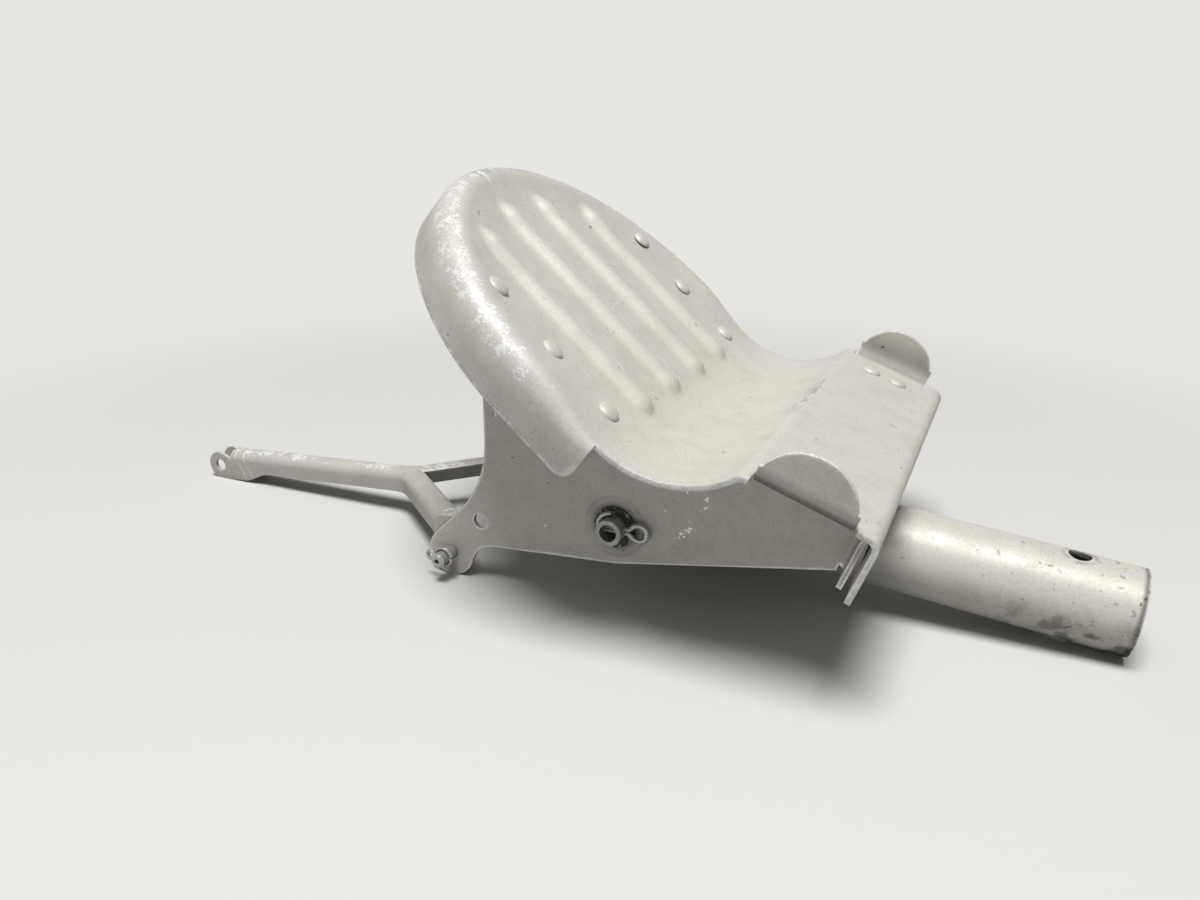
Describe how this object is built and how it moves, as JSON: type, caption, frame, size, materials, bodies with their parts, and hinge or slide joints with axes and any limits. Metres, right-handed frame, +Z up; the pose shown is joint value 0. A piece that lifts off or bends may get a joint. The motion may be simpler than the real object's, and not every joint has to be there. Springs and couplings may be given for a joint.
{
  "type": "aircraft rudder pedal",
  "caption": "Sheet-metal aircraft rudder pedal with a beaded foot plate on riveted brackets, a tubular arm and a forked toe-brake link.",
  "frame": {"origin": "middle of the base of the overall box, on the bench that the part lies on", "axes": "+Z up, +X along the arm towards its open end, Y along the pivot"},
  "size_m": [0.3354, 0.1408, 0.1217],
  "materials": {
    "paint": "satin warm grey paint, chipped at the edges",
    "steel": "dull plated steel",
    "bronze": "plain bearing bronze"
  },
  "bodies": {
    "arm": {"arm_tube": "paint", "cross_tube": "steel", "weld_beads": "steel", "left_bush": "bronze", "right_bush": "bronze"},
    "pedal": {"foot_plate": "paint", "left_bracket": "paint", "right_bracket": "paint", "left_toe_rivets": "paint", "right_toe_rivets": "paint", "left_lower_rivets": "paint", "right_lower_rivets": "paint", "pivot_pin": "steel", "left_pivot_washer": "steel", "right_pivot_washer": "steel", "left_pivot_cotter": "steel", "right_pivot_cotter": "steel", "left_clevis_pin": "steel", "right_clevis_pin": "steel", "left_clevis_cotter": "steel", "right_clevis_cotter": "steel", "left_thrust_washer": "bronze", "right_thrust_washer": "bronze"},
    "link": {"brake_link": "paint"}
  },
  "joints": [
    {"name": "pedal_rock", "type": "hinge", "parent": "arm", "child": "pedal", "pos_m": [0.02546, 0, 0.0275], "axis": [0, -1, 0], "range_deg": [0, 25]},
    {"name": "link_swing", "type": "hinge", "parent": "pedal", "child": "link", "pos_m": [-0.03174, 0, 0.008], "axis": [0, 1, 0], "range_deg": [-25, 45]}
  ]
}
